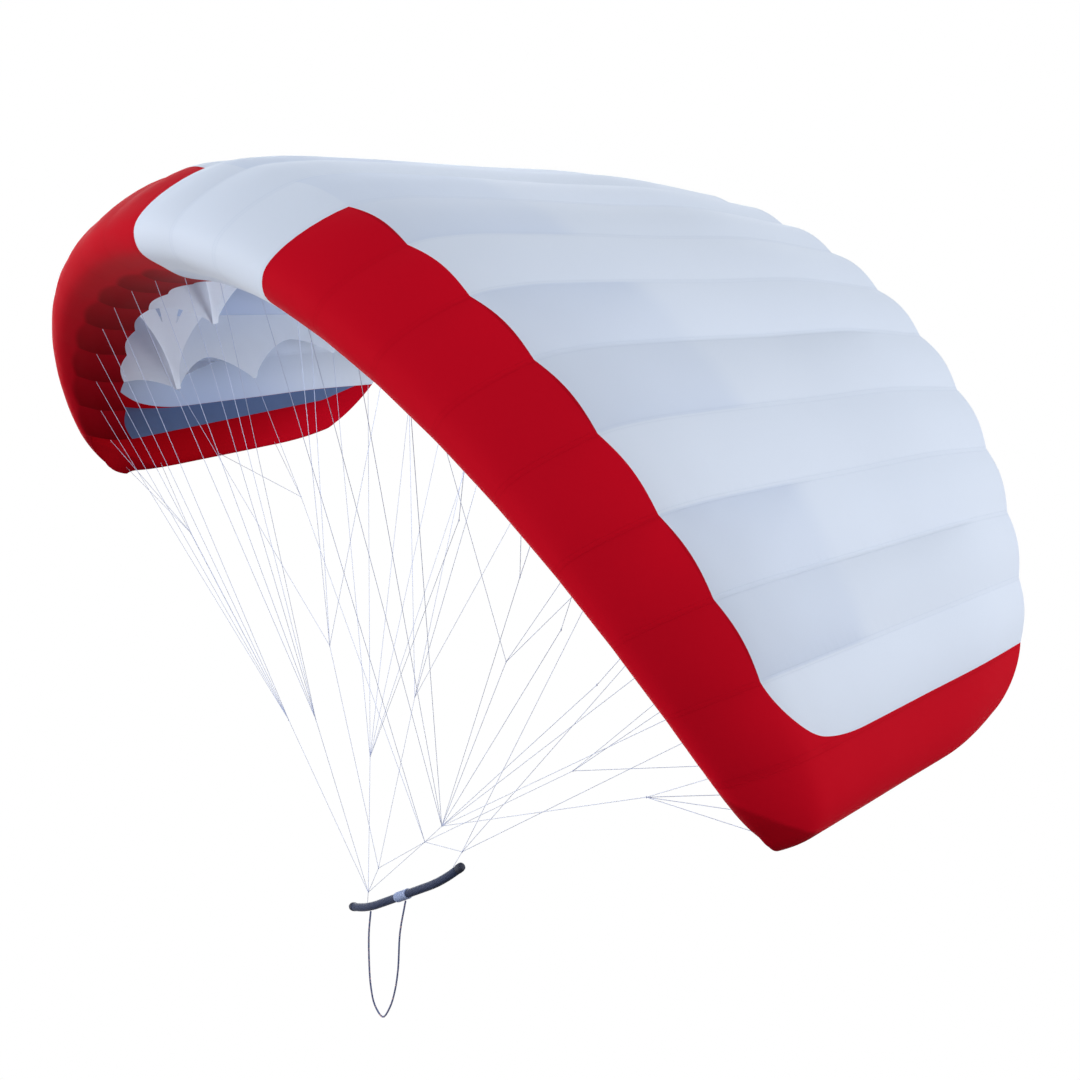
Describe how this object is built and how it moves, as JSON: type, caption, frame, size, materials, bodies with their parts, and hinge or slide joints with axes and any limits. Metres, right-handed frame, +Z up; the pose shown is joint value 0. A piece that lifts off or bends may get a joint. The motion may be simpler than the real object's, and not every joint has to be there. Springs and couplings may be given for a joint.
{
  "type": "parawing with control bar",
  "caption": "Soft single-skin wing that flies on lines above a hand-held control bar and pulls its flyer along on water or snow.",
  "frame": {"origin": "middle of the control bar's tube, where the flyer's hand holds it", "axes": "+Z up, +X toward the flyer's right along the wing's span, -Y toward the wing's nose"},
  "size_m": [2.9235, 1.48, 2.3709],
  "materials": {
    "white_cloth": "thin coated ripstop, soft sheen",
    "red_cloth": "thin coated ripstop, soft sheen",
    "line": "thin uncoated cord",
    "bar": "satin carbon fibre tube",
    "sleeve": "matt moulded sleeve",
    "cap": "matt",
    "loop": "braided cord with pale flecks"
  },
  "bodies": {
    "root": {"canopy_white": "white_cloth", "canopy_red_left": "red_cloth", "canopy_red_right": "red_cloth", "rib_load_left_2": "white_cloth", "rib_load_left_5": "white_cloth", "rib_load_left_8": "white_cloth", "rib_load_right_2": "white_cloth", "rib_load_right_5": "white_cloth", "rib_load_right_8": "white_cloth", "rib_nose_left_1": "white_cloth", "rib_nose_left_3": "red_cloth", "rib_nose_left_4": "red_cloth", "rib_nose_left_6": "red_cloth", "rib_nose_left_7": "red_cloth", "rib_nose_left_9": "red_cloth", "rib_nose_right_1": "white_cloth", "rib_nose_right_3": "red_cloth", "rib_nose_right_4": "red_cloth", "rib_nose_right_6": "red_cloth", "rib_nose_right_7": "red_cloth", "rib_nose_right_9": "red_cloth", "rib_tip_left_10": "white_cloth", "rib_tip_right_10": "white_cloth", "brace_left_2_in": "white_cloth", "brace_left_2_out": "white_cloth", "brace_left_5_in": "white_cloth", "brace_left_5_out": "white_cloth", "brace_left_8_in": "white_cloth", "brace_left_8_out": "white_cloth", "brace_right_2_in": "white_cloth", "brace_right_2_out": "white_cloth", "brace_right_5_in": "white_cloth", "brace_right_5_out": "white_cloth", "brace_right_8_in": "white_cloth", "brace_right_8_out": "white_cloth", "lines_left_front": "line", "lines_left_inner": "line", "lines_left_middle": "line", "lines_left_rear": "line", "lines_left_tip": "line", "lines_centre_rear": "line", "lines_main": "line", "bar_tube": "bar", "bar_sleeve": "sleeve", "bar_cap_left": "cap", "bar_cap_right": "cap", "harness_loop": "loop"}
  },
  "joints": []
}
